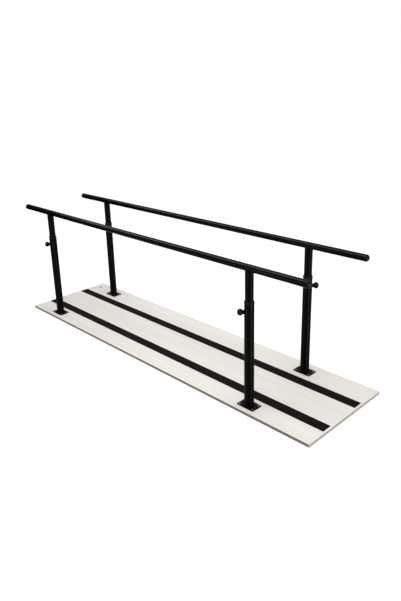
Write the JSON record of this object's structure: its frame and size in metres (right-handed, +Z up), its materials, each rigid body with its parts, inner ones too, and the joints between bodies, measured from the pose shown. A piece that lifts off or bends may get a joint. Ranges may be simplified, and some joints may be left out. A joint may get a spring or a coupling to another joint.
{
  "type": "walking parallel bars",
  "caption": "Gait-training parallel bars: round handrails with domed ends on telescoping posts with pull-knob height locks, screwed to a flat walking deck with anti-slip strips.",
  "frame": {"origin": "middle of the deck's underside, on the floor, at the mount floor_rest", "axes": "+X along the handrails, +Y from the front handrail to the rear one, +Z up"},
  "size_m": [2.7549, 0.7, 0.8543],
  "materials": {
    "deck_laminate": "board with a pale warm-white matt laminate face and bare brown layered edges",
    "anti_slip_strip": "black finely ribbed anti-slip rubber, matt",
    "powder_coated_tube": "steel with semi-gloss black powder coat",
    "black_plastic": "black moulded plastic, satin",
    "zinc_steel": "bright zinc-plated steel",
    "spring_steel": "drawn spring wire"
  },
  "bodies": {
    "base": {"deck_panel": "deck_laminate", "front_anti_slip_strip": "anti_slip_strip", "rear_anti_slip_strip": "anti_slip_strip", "front_left_base_plate": "powder_coated_tube", "front_left_outer_upright": "powder_coated_tube", "front_left_guide_collar": "black_plastic", "front_left_plunger_barrel": "powder_coated_tube", "front_left_plunger_spring": "spring_steel", "front_left_screw_1": "zinc_steel", "front_left_screw_2": "zinc_steel", "front_left_screw_3": "zinc_steel", "front_left_screw_4": "zinc_steel", "front_right_base_plate": "powder_coated_tube", "front_right_outer_upright": "powder_coated_tube", "front_right_guide_collar": "black_plastic", "front_right_plunger_barrel": "powder_coated_tube", "front_right_plunger_spring": "spring_steel", "front_right_screw_1": "zinc_steel", "front_right_screw_2": "zinc_steel", "front_right_screw_3": "zinc_steel", "front_right_screw_4": "zinc_steel", "rear_left_base_plate": "powder_coated_tube", "rear_left_outer_upright": "powder_coated_tube", "rear_left_guide_collar": "black_plastic", "rear_left_plunger_barrel": "powder_coated_tube", "rear_left_plunger_spring": "spring_steel", "rear_left_screw_1": "zinc_steel", "rear_left_screw_2": "zinc_steel", "rear_left_screw_3": "zinc_steel", "rear_left_screw_4": "zinc_steel", "rear_right_base_plate": "powder_coated_tube", "rear_right_outer_upright": "powder_coated_tube", "rear_right_guide_collar": "black_plastic", "rear_right_plunger_barrel": "powder_coated_tube", "rear_right_plunger_spring": "spring_steel", "rear_right_screw_1": "zinc_steel", "rear_right_screw_2": "zinc_steel", "rear_right_screw_3": "zinc_steel", "rear_right_screw_4": "zinc_steel"},
    "front_rail": {"front_handrail": "powder_coated_tube", "front_left_end_cap": "black_plastic", "front_right_end_cap": "black_plastic", "front_left_inner_upright": "powder_coated_tube", "front_right_inner_upright": "powder_coated_tube"},
    "rear_rail": {"rear_handrail": "powder_coated_tube", "rear_left_end_cap": "black_plastic", "rear_right_end_cap": "black_plastic", "rear_left_inner_upright": "powder_coated_tube", "rear_right_inner_upright": "powder_coated_tube"},
    "front_left_plunger": {"front_left_plunger_pin": "zinc_steel", "front_left_plunger_knob": "black_plastic"},
    "front_right_plunger": {"front_right_plunger_pin": "zinc_steel", "front_right_plunger_knob": "black_plastic"},
    "rear_left_plunger": {"rear_left_plunger_pin": "zinc_steel", "rear_left_plunger_knob": "black_plastic"},
    "rear_right_plunger": {"rear_right_plunger_pin": "zinc_steel", "rear_right_plunger_knob": "black_plastic"}
  },
  "joints": [
    {"name": "front_rail_height", "type": "slide", "parent": "base", "child": "front_rail", "axis": [0, 0, 1], "range_m": [-0.15, 0.15]},
    {"name": "rear_rail_height", "type": "slide", "parent": "base", "child": "rear_rail", "axis": [0, 0, 1], "range_m": [-0.15, 0.15]},
    {"name": "front_left_plunger_pull", "type": "slide", "parent": "base", "child": "front_left_plunger", "axis": [-0.7071, -0.7071, 0], "range_m": [0, 0.006], "stiffness_N_per_m": 1300, "springref_m": -0.006, "deforming": ["front_left_plunger_spring"]},
    {"name": "front_right_plunger_pull", "type": "slide", "parent": "base", "child": "front_right_plunger", "axis": [-0.7071, -0.7071, 0], "range_m": [0, 0.006], "stiffness_N_per_m": 1300, "springref_m": -0.006, "deforming": ["front_right_plunger_spring"]},
    {"name": "rear_left_plunger_pull", "type": "slide", "parent": "base", "child": "rear_left_plunger", "axis": [0.7071, 0.7071, 0], "range_m": [0, 0.006], "stiffness_N_per_m": 1300, "springref_m": -0.006, "deforming": ["rear_left_plunger_spring"]},
    {"name": "rear_right_plunger_pull", "type": "slide", "parent": "base", "child": "rear_right_plunger", "axis": [0.7071, 0.7071, 0], "range_m": [0, 0.006], "stiffness_N_per_m": 1300, "springref_m": -0.006, "deforming": ["rear_right_plunger_spring"]}
  ]
}
